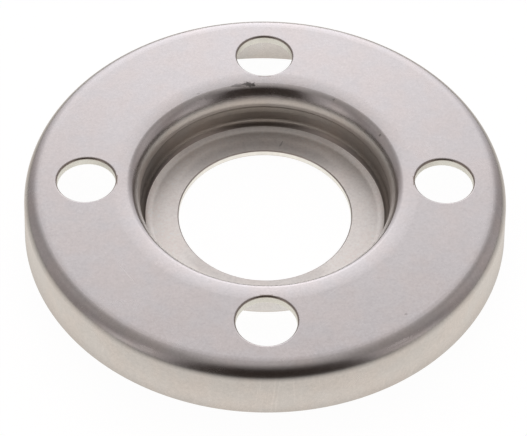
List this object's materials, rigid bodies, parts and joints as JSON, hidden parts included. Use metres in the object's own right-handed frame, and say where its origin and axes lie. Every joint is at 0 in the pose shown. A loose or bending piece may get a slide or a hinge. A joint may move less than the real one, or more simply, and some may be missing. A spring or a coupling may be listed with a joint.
{
  "type": "lap joint flange",
  "caption": "Pressed sheet steel backing flange for a lap joint: a flat bolting ring with a turned-down skirt, a drawn central well with a pipe bore, and round bolt holes.",
  "frame": {"origin": "on the bore's axis, in the plane of the skirt's bottom edge and the well floor's underside", "axes": "+Z along the bore's axis, out of the well and away from the lap seat; a bolt hole lies on each of +X, +Y, -X and -Y"},
  "size_m": [0.15, 0.15, 0.0178],
  "materials": {
    "stainless_steel": "satin, pickled after pressing, with faint drawing marks on the well's lip"
  },
  "bodies": {
    "root": {"lap_joint_flange": "stainless_steel"}
  },
  "joints": []
}
